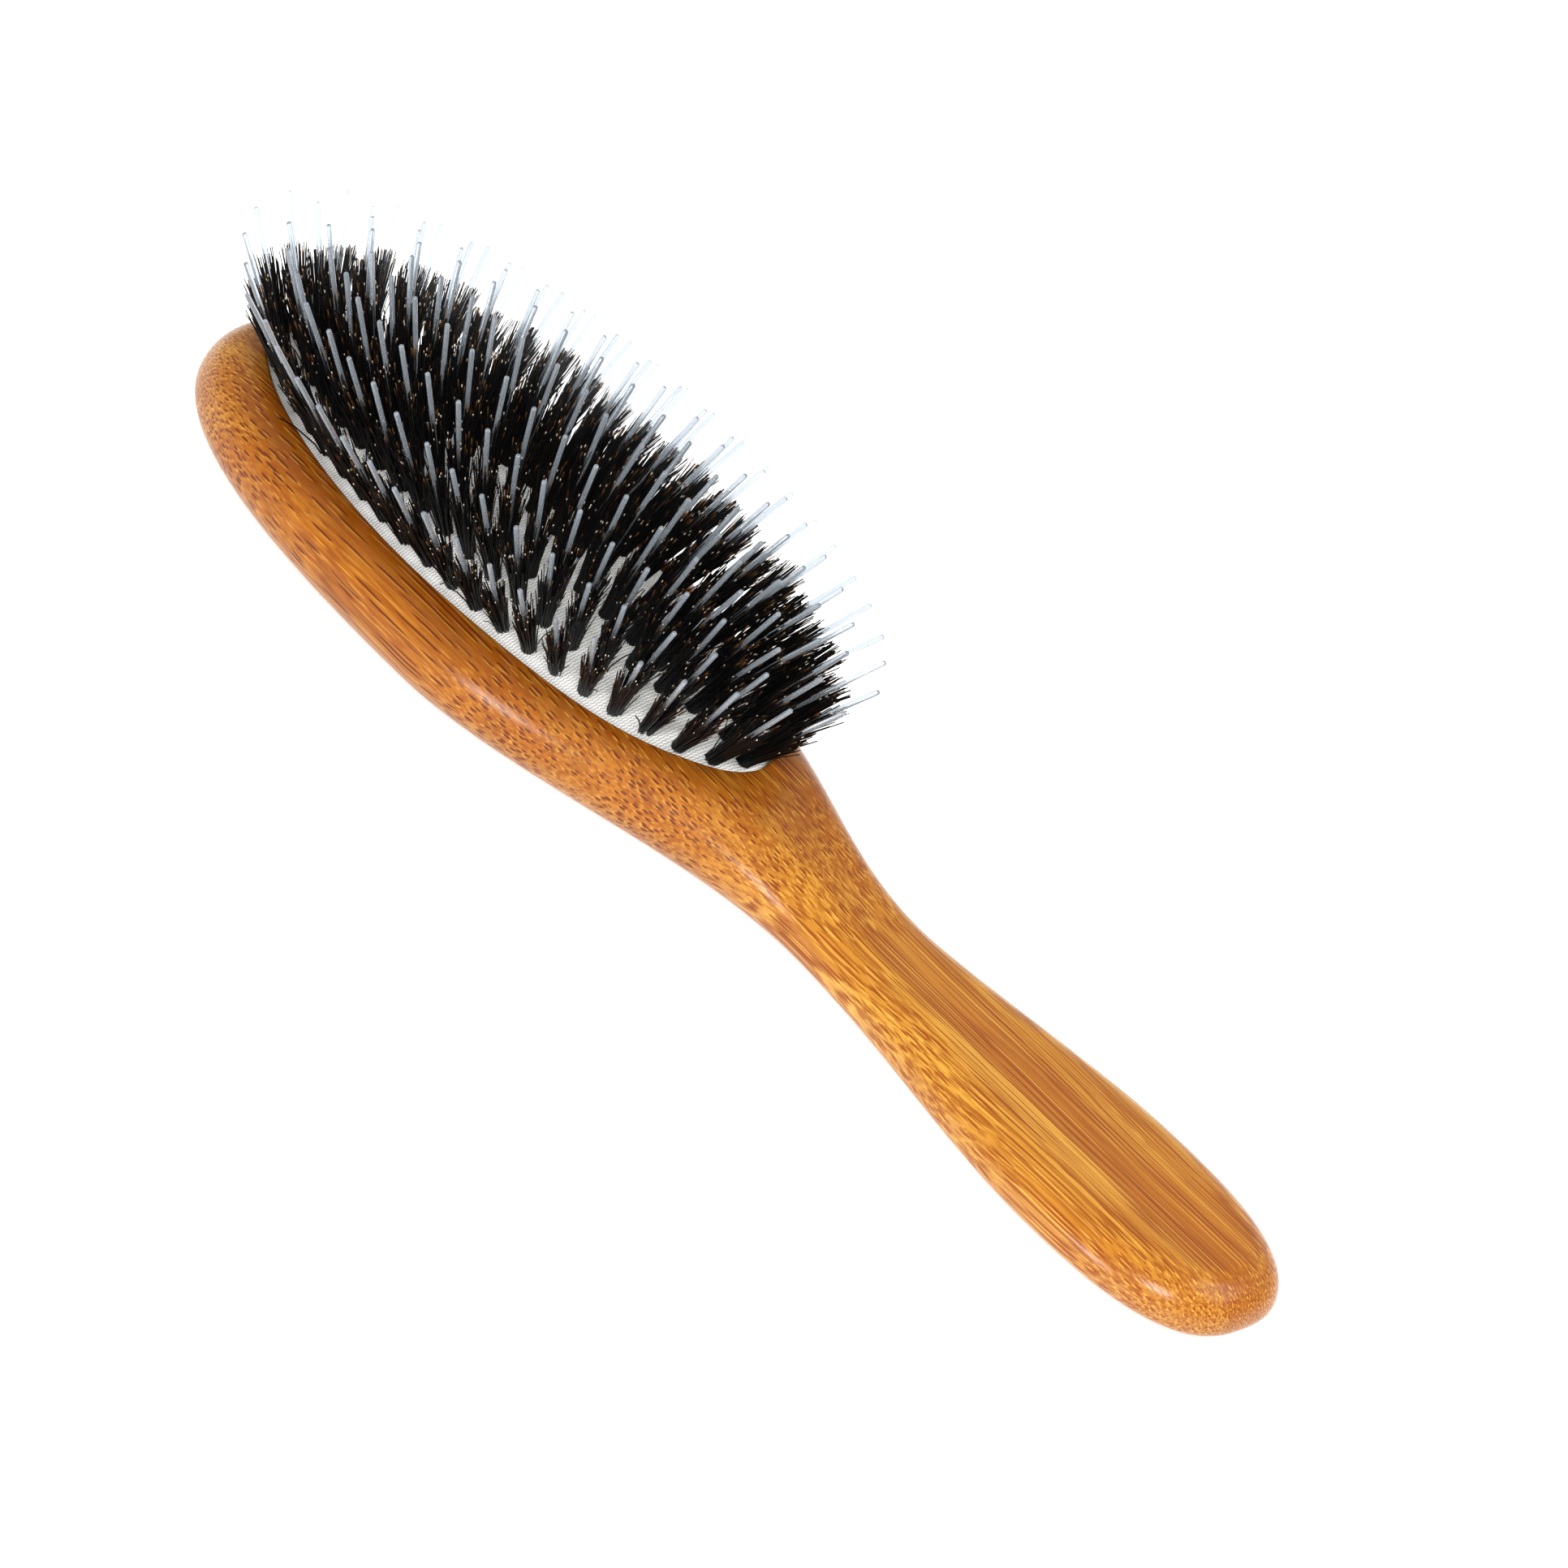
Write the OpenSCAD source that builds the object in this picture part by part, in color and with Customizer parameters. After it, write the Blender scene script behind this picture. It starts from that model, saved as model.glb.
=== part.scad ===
// Oval cushion hairbrush lying on its back, with the bristles up (+Z).
// X runs along the brush, from the head tip (-X) to the handle tip (+X), and Y across it.
// Z = 0 is the flat back. The origin is under the middle of the whole brush.

/* [Body] */
// Length of the bamboo body
body_l = 228; // [215:1:240]
// Half width of the head at its widest
head_half_w = 28.4; // [28:0.2:31]
// Distance from the head tip to the widest place of the head
head_x = 70; // [64:1:72]
// Half width of the neck
neck_half_w = 10.2; // [9:0.2:12]
// Distance from the head tip to the narrowest place of the neck
neck_x = 141.5; // [138:0.5:150]
// Half width of the grip at its widest
grip_half_w = 16.8; // [14:0.2:18]
// Distance from the head tip to the widest place of the grip
grip_x = 198; // [190:1:204]
// Squareness of the head outline, where 2 is an ellipse
head_square = 2.45; // [2:0.05:2.6]
// Squareness of the grip's end, where 2 is an ellipse
grip_square = 2.55; // [2:0.05:2.6]
// Thickness of the head, from the back to the rim of the cushion
head_t = 14.8; // [13.6:0.2:16]
// How far the handle's top lies below the head's rim
handle_drop = 5.2; // [3:0.2:6]
// Width of the rounded edge round the head
head_roll = 8.2; // [6.8:0.2:8.4]
// Width of the rounded edge round the neck and the grip
grip_roll = 7; // [5:0.2:7.4]
// Height of the widest line of the side, as a share of the thickness
side_level = 0.42; // [0.35:0.01:0.5]

/* [Cushion] */
// Half length of the cushion
pad_a = 54.2; // [53:0.2:55]
// Half width of the cushion
pad_b = 21.4; // [20.8:0.2:21.6]
// Distance from the head tip to the middle of the cushion
pad_x = 61.8; // [61:0.2:63]
// Rise of the cushion's crown above its own edge
pad_rise = 7.3; // [6.5:0.1:8]
// How far the cushion's edge lies below the head's rim
pad_sink = 1.2; // [0.8:0.1:1.6]
// Thickness of the woven facing
fabric_t = 0.5; // [0.4:0.1:0.7]
// Thickness of the rubber membrane
rubber_t = 1.45; // [1.2:0.05:1.6]
// Width of the ledge that the cushion's edge sits on
ledge_w = 2; // [1.8:0.1:2.1]
// Depth of the ledge below the cushion's edge
ledge_drop = 2.2; // [2:0.1:2.6]
// Height of the air chamber's floor above the back
floor_z = 6.4; // [5:0.2:7]

/* [Tufts] */
// Distance between neighbouring rings of tufts
ring_step = 4.6; // [4.5:0.1:4.8]
// Distance between tufts along a ring
tuft_pitch = 5.4; // [5.2:0.1:6]
// Distance from the cushion's edge to the outer ring
ring_inset = 2.4; // [2.3:0.1:2.6]
// Tufts in the middle row
middle_count = 13; // [11:1:13]
// Half length of the middle row
middle_half_l = 30; // [29:0.5:32]
// Radius of a tuft where it leaves the cushion
root_r = 1.25; // [1.1:0.05:1.3]
// Radius of a tuft at its bristle tips
brush_r = 2; // [1.5:0.05:2]
// Height of the bristles above the cushion
brush_h = 15.5; // [12:0.5:16]
// Radius of a nylon pin
pin_r = 0.42; // [0.38:0.02:0.48]
// Height of a nylon pin above the cushion
pin_h = 22.5; // [18:0.5:24]
// Outward lean of the pins at the cushion's ends, as rise over run
lean_x = 0.66; // [0.4:0.02:0.7]
// Outward lean of the pins at the cushion's sides, as rise over run
lean_y = 1; // [0.6:0.02:1]

/* [Hidden] */

// Gaps: glue line round the cushion, tuft in its hole, pin inside its tuft, tuft below the membrane
glue_gap = 0.05;
hole_gap = 0.2;
pin_gap = 0.07;
foot_gap = 0.6;
// Foot of a tuft under the membrane, which keeps it from pulling out
anchor_r = 1.1;
anchor_h = 0.9;
// Facets of ovals, of the cushion's two curvatures, and of tufts
oval_n = 96;
long_fn = 180;
cross_fn = 96;
tuft_fn = 16;
// Outline points on one side of the body, and steps of its rounded edges
side_n = 44;
roll_n = 5;

rim_z = head_t;
edge_z = rim_z - pad_sink;
crown_z = edge_z + pad_rise;
ledge_z = edge_z - ledge_drop;
membrane_t = fabric_t + glue_gap + rubber_t;
foot_z = membrane_t + foot_gap;
// Radii of the crown across and along the cushion
cross_r = (pad_b * pad_b + pad_rise * pad_rise) / (2 * pad_rise);
long_r = (pad_a * pad_a + pad_rise * pad_rise) / (2 * pad_rise);
// The outer ring and its pins reach past the head tip, and the grip's end is the other limit
ring_a = pad_a - ring_inset;
ring_b = pad_b - ring_inset;
end_lean = atan(lean_x * ring_a / pad_a);
pin_reach = ring_a + (pin_h - pin_r) * sin(end_lean) + pin_r;
middle_x = (body_l + pad_x - pin_reach) / 2;

// Smooth step from 0 to 1, level at both ends
function ease(u) = let (v = min(1, max(0, u))) v * v * (3 - 2 * v);
// Quarter of a squared ellipse: 1 at u = 0, 0 at u = 1
function quarter(u, m) = pow(max(0, 1 - pow(u, m)), 1 / m);
// Half width of the body at a distance x from the head tip
function half_w(x) =
    x < head_x ? head_half_w * quarter(1 - x / head_x, head_square)
    : x < neck_x ? head_half_w + (neck_half_w - head_half_w) * ease((x - head_x) / (neck_x - head_x))
    : x < grip_x ? neck_half_w + (grip_half_w - neck_half_w) * ease((x - neck_x) / (grip_x - neck_x))
    : grip_half_w * quarter((x - grip_x) / (body_l - grip_x), grip_square);
// Height of the top face, which steps down from the head to the handle
function top_z(x) =
    let (start = pad_x + pad_a)
    head_t - handle_drop * ease((x - start) / (neck_x + 10 - start));
// Width of the rounded edge
function roll(x) = head_roll + (grip_roll - head_roll) * ease((x - head_x) / (neck_x - head_x));

// Outline of the body, from the head tip along the near side and back along the far side
function side_x(i) = body_l * (1 - cos(180 * i / side_n)) / 2;
outline = [
    for (i = [0 : 2 * side_n - 1])
        i <= side_n ? [side_x(i), -half_w(side_x(i))]
        : [side_x(2 * side_n - i), half_w(side_x(2 * side_n - i))]
];
outline_n = len(outline);
function inward(i) =
    let (t = outline[(i + 1) % outline_n] - outline[(i + outline_n - 1) % outline_n])
    [-t.y, t.x] / norm(t);
// One point of the rounded edge: phase -1 is the back, 0 the widest line and 1 the top
function edge_point(i, phase) =
    let (
        p0 = outline[i],
        inset = roll(p0.x) * (1 - cos(90 * phase)),
        p = p0 + inward(i) * inset,
        side_z = side_level * top_z(p.x),
        z = phase < 0 ? side_z * (1 + sin(90 * phase)) : side_z + (top_z(p.x) - side_z) * sin(90 * phase)
    )
    [p.x, p.y, z];

// Points on an oval, evenly spaced by its own length
function oval_point(a, b, t) = [a * cos(t), b * sin(t)];
function oval_lengths(a, b) = [
    for (i = 0, s = 0; i <= 180;
         s = s + norm(oval_point(a, b, 2 * i + 2) - oval_point(a, b, 2 * i)), i = i + 1)
        [s, 2 * i]
];
function oval_ring(a, b, phase) =
    let (
        table = oval_lengths(a, b),
        total = table[180][0],
        count = 2 * round(total / tuft_pitch / 2)
    )
    [for (i = [0 : count - 1]) oval_point(a, b, lookup(total * (i + phase) / count, table))];
// Places of all the tufts: four rings, from the outside inwards, and a middle row
tuft_places = [
    for (k = [0 : 3])
        each oval_ring(ring_a - k * ring_step, ring_b - k * ring_step, k == 2 ? 0.5 : 0),
    for (i = [0 : middle_count - 1])
        [middle_half_l * (2 * i / (middle_count - 1) - 1), 0]
];
// Zones of the cushion that sink by about the same share, from the crown (1) to the edge (6)
function level(p) = pow(p.x / pad_a, 2) + pow(p.y / pad_b, 2);
zone_step = 1.001 * pow(ring_a / pad_a, 2) / 6;
function zone_places(k) = [for (p = tuft_places) if (floor(level(p) / zone_step) == k - 1) p];
// Height of the cushion's face over a place
function crown_at(p) =
    let (across = long_r - cross_r + sqrt(cross_r * cross_r - p.y * p.y))
    crown_z - long_r + sqrt(across * across - p.x * p.x);

module on_cushion(p) {
    lean = [lean_x * p.x / pad_a, lean_y * p.y / pad_b];
    translate([pad_x + p.x, p.y, crown_at(p)])
        rotate([0, atan(norm(lean)), norm(lean) == 0 ? 0 : atan2(lean.y, lean.x)])
            children();
}

module centred() translate([-middle_x, 0, 0]) children();

// Upright oval block, inset from the cushion's outline
module oval_block(inset, z0, z1)
    translate([pad_x, 0, z0])
        linear_extrude(z1 - z0)
            polygon([
                for (i = [0 : oval_n - 1]) oval_point(pad_a - inset, pad_b - inset, 360 * i / oval_n)
            ]);

// Crowned block: a round bar bent along the brush, lowered by depth
module crown_block(depth)
    translate([pad_x, 0, crown_z - long_r])
        rotate([90, 0, 0])
            rotate([0, 0, 68])
                rotate_extrude(angle = 44, $fn = long_fn)
                    translate([long_r - cross_r, 0])
                        circle(r = cross_r - depth, $fn = cross_fn);

// Cushion layer between two depths, with its skirt down to the ledge and a hole for each tuft
module cushion_layer(depth0, depth1, skirt0, skirt1)
    difference() {
        intersection() {
            crown_block(depth0);
            oval_block(skirt0, ledge_z, crown_z + 1);
        }
        intersection() {
            crown_block(depth1);
            oval_block(skirt1, ledge_z - 1, crown_z + 1);
        }
        for (p = tuft_places)
            on_cushion(p)
                translate([0, 0, -foot_z])
                    cylinder(r = root_r + hole_gap, h = 2 * foot_z, $fn = tuft_fn);
    }

module bamboo_body()
    color([0.80, 0.53, 0.25]) centred()
        difference() {
            body_blank();
            oval_block(0, ledge_z, rim_z + 1);
            oval_block(ledge_w, floor_z, rim_z);
        }

module body_blank() {
    phases = [for (j = [-roll_n : roll_n]) j / roll_n];
    rings = len(phases);
    points = [for (phase = phases) for (i = [0 : outline_n - 1]) edge_point(i, phase)];
    sides = [
        for (j = [0 : rings - 2])
            for (i = [0 : outline_n - 1])
                let (a = j * outline_n, n = (i + 1) % outline_n)
                [a + i, a + outline_n + i, a + outline_n + n, a + n]
    ];
    top = (rings - 1) * outline_n;
    // The top and the back are strips between the two sides
    cap_n = side_n - 1;
    top_cap = [
        for (i = [0 : cap_n])
            [top + i, top + (outline_n - i) % outline_n, top + outline_n - i - 1, top + i + 1]
    ];
    back_cap = [for (i = [0 : cap_n]) [i + 1, outline_n - i - 1, (outline_n - i) % outline_n, i]];
    polyhedron(points = points, faces = concat(sides, top_cap, back_cap), convexity = 4);
}

module cushion_rubber()
    color([0.86, 0.82, 0.74]) centred()
        cushion_layer(fabric_t + glue_gap, membrane_t, fabric_t + 2 * glue_gap, ledge_w);

module cushion_fabric()
    color([0.93, 0.92, 0.89]) centred()
        cushion_layer(0, fabric_t, glue_gap, fabric_t + glue_gap);

// Bundle of bristles round its pin, from its foot under the membrane to the bristle tips
module boar_tufts(k)
    color([0.09, 0.07, 0.06]) centred()
        for (p = zone_places(k))
            on_cushion(p)
                rotate_extrude($fn = tuft_fn)
                    polygon([
                        [pin_r + pin_gap, -foot_z], [root_r, -foot_z], [root_r, 0],
                        [brush_r, brush_h], [pin_r + pin_gap, brush_h]
                    ]);

// Pin with a tapered tip
module nylon_pins(k)
    color([0.80, 0.85, 0.90]) centred()
        for (p = zone_places(k))
            on_cushion(p) {
                translate([0, 0, -foot_z])
                    cylinder(r = pin_r, h = foot_z + pin_h - pin_r, $fn = tuft_fn);
                translate([0, 0, pin_h - pin_r])
                    cylinder(r1 = pin_r, r2 = pin_r / 2, h = pin_r, $fn = tuft_fn);
            }

// Button that a tuft and its pin are fixed to
module tuft_anchors(k)
    color([0.72, 0.72, 0.70]) centred()
        for (p = zone_places(k))
            on_cushion(p)
                translate([0, 0, -foot_z - anchor_h])
                    cylinder(r = anchor_r, h = anchor_h, $fn = tuft_fn);

bamboo_body();
cushion_rubber();
cushion_fabric();
boar_tufts(1);  // boar_tufts_zone_1
boar_tufts(2);  // boar_tufts_zone_2
boar_tufts(3);  // boar_tufts_zone_3
boar_tufts(4);  // boar_tufts_zone_4
boar_tufts(5);  // boar_tufts_zone_5
boar_tufts(6);  // boar_tufts_zone_6
nylon_pins(1);  // nylon_pins_zone_1
nylon_pins(2);  // nylon_pins_zone_2
nylon_pins(3);  // nylon_pins_zone_3
nylon_pins(4);  // nylon_pins_zone_4
nylon_pins(5);  // nylon_pins_zone_5
nylon_pins(6);  // nylon_pins_zone_6
tuft_anchors(1);  // tuft_anchors_zone_1
tuft_anchors(2);  // tuft_anchors_zone_2
tuft_anchors(3);  // tuft_anchors_zone_3
tuft_anchors(4);  // tuft_anchors_zone_4
tuft_anchors(5);  // tuft_anchors_zone_5
tuft_anchors(6);  // tuft_anchors_zone_6
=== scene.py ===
"""Oval cushion hairbrush: bamboo body, fabric-faced air cushion, boar tufts with a nylon pin in each."""

from math import cos, pi, radians, sin

import bpy
import numpy as np
from mathutils import Matrix, Vector


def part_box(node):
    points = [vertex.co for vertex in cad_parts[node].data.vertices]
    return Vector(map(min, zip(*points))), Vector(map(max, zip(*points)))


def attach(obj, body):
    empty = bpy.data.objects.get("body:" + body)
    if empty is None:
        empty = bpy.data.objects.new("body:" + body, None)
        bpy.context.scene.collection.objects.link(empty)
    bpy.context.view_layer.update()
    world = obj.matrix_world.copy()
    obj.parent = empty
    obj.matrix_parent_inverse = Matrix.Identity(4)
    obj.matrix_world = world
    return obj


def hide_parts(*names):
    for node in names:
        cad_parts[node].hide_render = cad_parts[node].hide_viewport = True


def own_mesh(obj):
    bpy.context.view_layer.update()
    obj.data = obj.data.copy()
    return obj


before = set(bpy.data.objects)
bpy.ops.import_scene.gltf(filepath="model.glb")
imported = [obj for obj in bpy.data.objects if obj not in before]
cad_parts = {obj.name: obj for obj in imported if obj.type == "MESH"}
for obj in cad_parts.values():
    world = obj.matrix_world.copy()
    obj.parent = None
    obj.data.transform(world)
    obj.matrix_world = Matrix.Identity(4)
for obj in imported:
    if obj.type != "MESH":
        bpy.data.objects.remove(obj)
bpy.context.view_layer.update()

MM = 0.001
RNG_SEED = 11

# ---- Driving dimensions, in millimetres. x is measured from the head tip. ----
body_low, body_high = (np.array(corner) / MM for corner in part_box("bamboo_body"))
fabric_low, fabric_high = (np.array(corner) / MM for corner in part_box("cushion_fabric"))
HEAD_TIP = body_low[0]
BODY_L = body_high[0] - body_low[0]
HEAD_HALF_W = body_high[1]
HEAD_T = body_high[2]
HEAD_X, NECK_X, GRIP_X = 70.0, 141.5, 198.0
NECK_HALF_W, GRIP_HALF_W = 10.2, 16.8
HEAD_SQUARE, GRIP_SQUARE = 2.45, 2.55
HANDLE_DROP, DROP_PAST_NECK = 5.2, 10
HEAD_ROLL, GRIP_ROLL = 8.2, 7.0
SIDE_LEVEL = 0.42
LIP_R = 0.8

GLUE_GAP = 0.05
PAD_A = (fabric_high[0] - fabric_low[0]) / 2 + GLUE_GAP
PAD_B = fabric_high[1] + GLUE_GAP
PAD_X = (fabric_high[0] + fabric_low[0]) / 2 - HEAD_TIP
CROWN_Z = fabric_high[2]
LEDGE_Z = fabric_low[2]
PAD_SINK = 1.2
EDGE_Z = HEAD_T - PAD_SINK
PAD_RISE = CROWN_Z - EDGE_Z
CROSS_R = (PAD_B ** 2 + PAD_RISE ** 2) / (2 * PAD_RISE)
LONG_R = (PAD_A ** 2 + PAD_RISE ** 2) / (2 * PAD_RISE)
FABRIC_T, RUBBER_T = 0.5, 1.45
LEDGE_W = 2.0
LEDGE_GAP = 0.02
FLOOR_Z = 6.4
FLOOR_INSET = PAD_B * 0.6
PUCKER_DEPTH, PUCKER_REACH = 0.3, 1.7

RINGS = 4
RING_INSET, RING_STEP, TUFT_PITCH = 2.4, 4.6, 5.4
MIDDLE_COUNT, MIDDLE_HALF_L = 13, 30.0
LEAN_X, LEAN_Y = 0.66, 1.0
ROOT_R, BRUSH_R, BRUSH_H = 1.25, 2.0, 15.5
PIN_R, PIN_H = 0.40, 22.5
FOOT = 2.5
ZONES = 6


# ---- Shape formulas ----
def ease(u):
    """Smooth rise from 0 to 1."""
    v = np.clip(u, 0, 1)
    return v * v * (3 - 2 * v)


def quarter(u, m):
    """Quarter of a squarish oval: 1 at u 0, falling to 0 at u 1."""
    return np.clip(1 - np.clip(u, 0, 1) ** m, 0, 1) ** (1 / m)


def half_w(x):
    """Half width of the body at x from the head tip."""
    head = HEAD_HALF_W * quarter(1 - x / HEAD_X, HEAD_SQUARE)
    neck = HEAD_HALF_W + (NECK_HALF_W - HEAD_HALF_W) * ease((x - HEAD_X) / (NECK_X - HEAD_X))
    grip = NECK_HALF_W + (GRIP_HALF_W - NECK_HALF_W) * ease((x - NECK_X) / (GRIP_X - NECK_X))
    end = GRIP_HALF_W * quarter((x - GRIP_X) / (BODY_L - GRIP_X), GRIP_SQUARE)
    return np.select([x < HEAD_X, x < NECK_X, x < GRIP_X], [head, neck, grip], end)


def top_z(x):
    """Height of the body's top face, which steps down from the head to the handle."""
    start = PAD_X + PAD_A
    return HEAD_T - HANDLE_DROP * ease((x - start) / (NECK_X + DROP_PAST_NECK - start))


def roll(x):
    """Width of the rounding between the side and the top."""
    return HEAD_ROLL + (GRIP_ROLL - HEAD_ROLL) * ease((x - HEAD_X) / (NECK_X - HEAD_X))


def crown_at(x, y, depth=0.0):
    """Height of the cushion at a place counted from its middle, or of a layer at a depth below its face."""
    across = LONG_R - CROSS_R + np.sqrt((CROSS_R - depth) ** 2 - y ** 2)
    return CROWN_Z - LONG_R + np.sqrt(across ** 2 - x ** 2)


def oval(a, b, t):
    return np.stack([a * np.cos(t), b * np.sin(t)], axis=-1)


def oval_ring(a, b, phase):
    """Tuft places on an oval, evenly spaced by its length."""
    t = np.linspace(0, 2 * pi, 181)
    steps = np.linalg.norm(np.diff(oval(a, b, t), axis=0), axis=1)
    length = np.concatenate([[0], np.cumsum(steps)])
    count = 2 * int(np.floor(length[-1] / TUFT_PITCH / 2 + 0.5))
    return oval(a, b, np.interp(length[-1] * (np.arange(count) + phase) / count, length, t))


def tuft_places():
    """All tufts: four oval rings from the edge inwards, and a row along the middle."""
    rings = []
    for k in range(RINGS):
        inset = RING_INSET + k * RING_STEP
        rings.append(oval_ring(PAD_A - inset, PAD_B - inset, 0.5 if k == 2 else 0))
    row = np.linspace(-MIDDLE_HALF_L, MIDDLE_HALF_L, MIDDLE_COUNT)
    return np.vstack(rings + [np.stack([row, 0 * row], axis=-1)])


def zone_of(places):
    """Zone of each tuft, from the crown (1) to the edge (6)."""
    step = 1.001 * (1 - RING_INSET / PAD_A) ** 2 / ZONES
    level = (places[:, 0] / PAD_A) ** 2 + (places[:, 1] / PAD_B) ** 2
    return np.floor(level / step).astype(int) + 1


TUFTS = tuft_places()
TUFT_ZONE = zone_of(TUFTS)


def tuft_frame(place):
    """Root point of a tuft and its three axes, the last one along its pin."""
    x, y = place
    along = np.array([LEAN_X * x / PAD_A, LEAN_Y * y / PAD_B, 1.0])
    along /= np.linalg.norm(along)
    side = np.cross(along, [0.0, 1.0, 0.0])
    side /= np.linalg.norm(side)
    root = np.array([HEAD_TIP + PAD_X + x, y, crown_at(x, y)])
    return root, np.stack([side, np.cross(along, side), along])


# ---- Mesh helpers ----
def make_object(name, points, faces, body, slot, material, sharp_deg):
    """Mesh object from points in millimetres, riding on a body, smooth but for edges over sharp_deg."""
    mesh = bpy.data.meshes.new(name)
    mesh.from_pydata((np.asarray(points) * MM).tolist(), [], faces)
    mesh.validate()
    mesh.materials.append(material)
    mesh.polygons.foreach_set("use_smooth", [True] * len(mesh.polygons))
    mesh.set_sharp_from_angle(angle=radians(sharp_deg))
    obj = bpy.data.objects.new(name, mesh)
    bpy.context.scene.collection.objects.link(obj)
    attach(obj, body)
    return obj


def band(lower, upper):
    """Quads between two closed rings of point numbers."""
    return [
        (lower[i], lower[(i + 1) % len(lower)], upper[(i + 1) % len(lower)], upper[i])
        for i in range(len(lower))
    ]


# ---- Bamboo body ----
SIDE_N = 260
CUT_I = 138
ACROSS_N = 24
LOW_SIDE_STEPS, HIGH_SIDE_STEPS, HIGH_SIDE_END = 15, 14, 0.72
HEAD_TOP_STEPS, LIP_STEPS = 19, 7


def outline_loop():
    """Closed outline: head tip, near side, handle tip, far side. Also its inward normals."""
    x = BODY_L * (1 - np.cos(np.linspace(0, pi, SIDE_N + 1))) / 2
    w = half_w(x)
    near = np.stack([x, -w], axis=-1)
    far = np.stack([x, w], axis=-1)[1:-1][::-1]
    loop = np.vstack([near, far])
    tangent = np.roll(loop, -1, axis=0) - np.roll(loop, 1, axis=0)
    normal = np.stack([-tangent[:, 1], tangent[:, 0]], axis=-1)
    return loop, normal / np.linalg.norm(normal, axis=1, keepdims=True)


def distance_to(loop, points):
    """Distance of each point to a dense closed polyline."""
    start, end = loop, np.roll(loop, -1, axis=0)
    edge = end - start
    found = np.full(len(points), 1e9)
    for chunk in np.array_split(np.arange(len(points)), max(1, len(points) // 2000)):
        offset = points[chunk][:, None] - start[None]
        share = np.clip((offset * edge).sum(-1) / (edge ** 2).sum(-1), 0, 1)
        found[chunk] = np.linalg.norm(offset - share[..., None] * edge, axis=-1).min(axis=1)
    return found


def top_face_z(loop, points):
    """Height of the top, with its rounded edge, over places inside the outline."""
    x = points[:, 0]
    lean = np.clip(1 - distance_to(loop, points) / roll(x), 0, 1)
    side_z = SIDE_LEVEL * top_z(x)
    return side_z + (top_z(x) - side_z) * np.sqrt(1 - lean ** 2)


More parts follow.
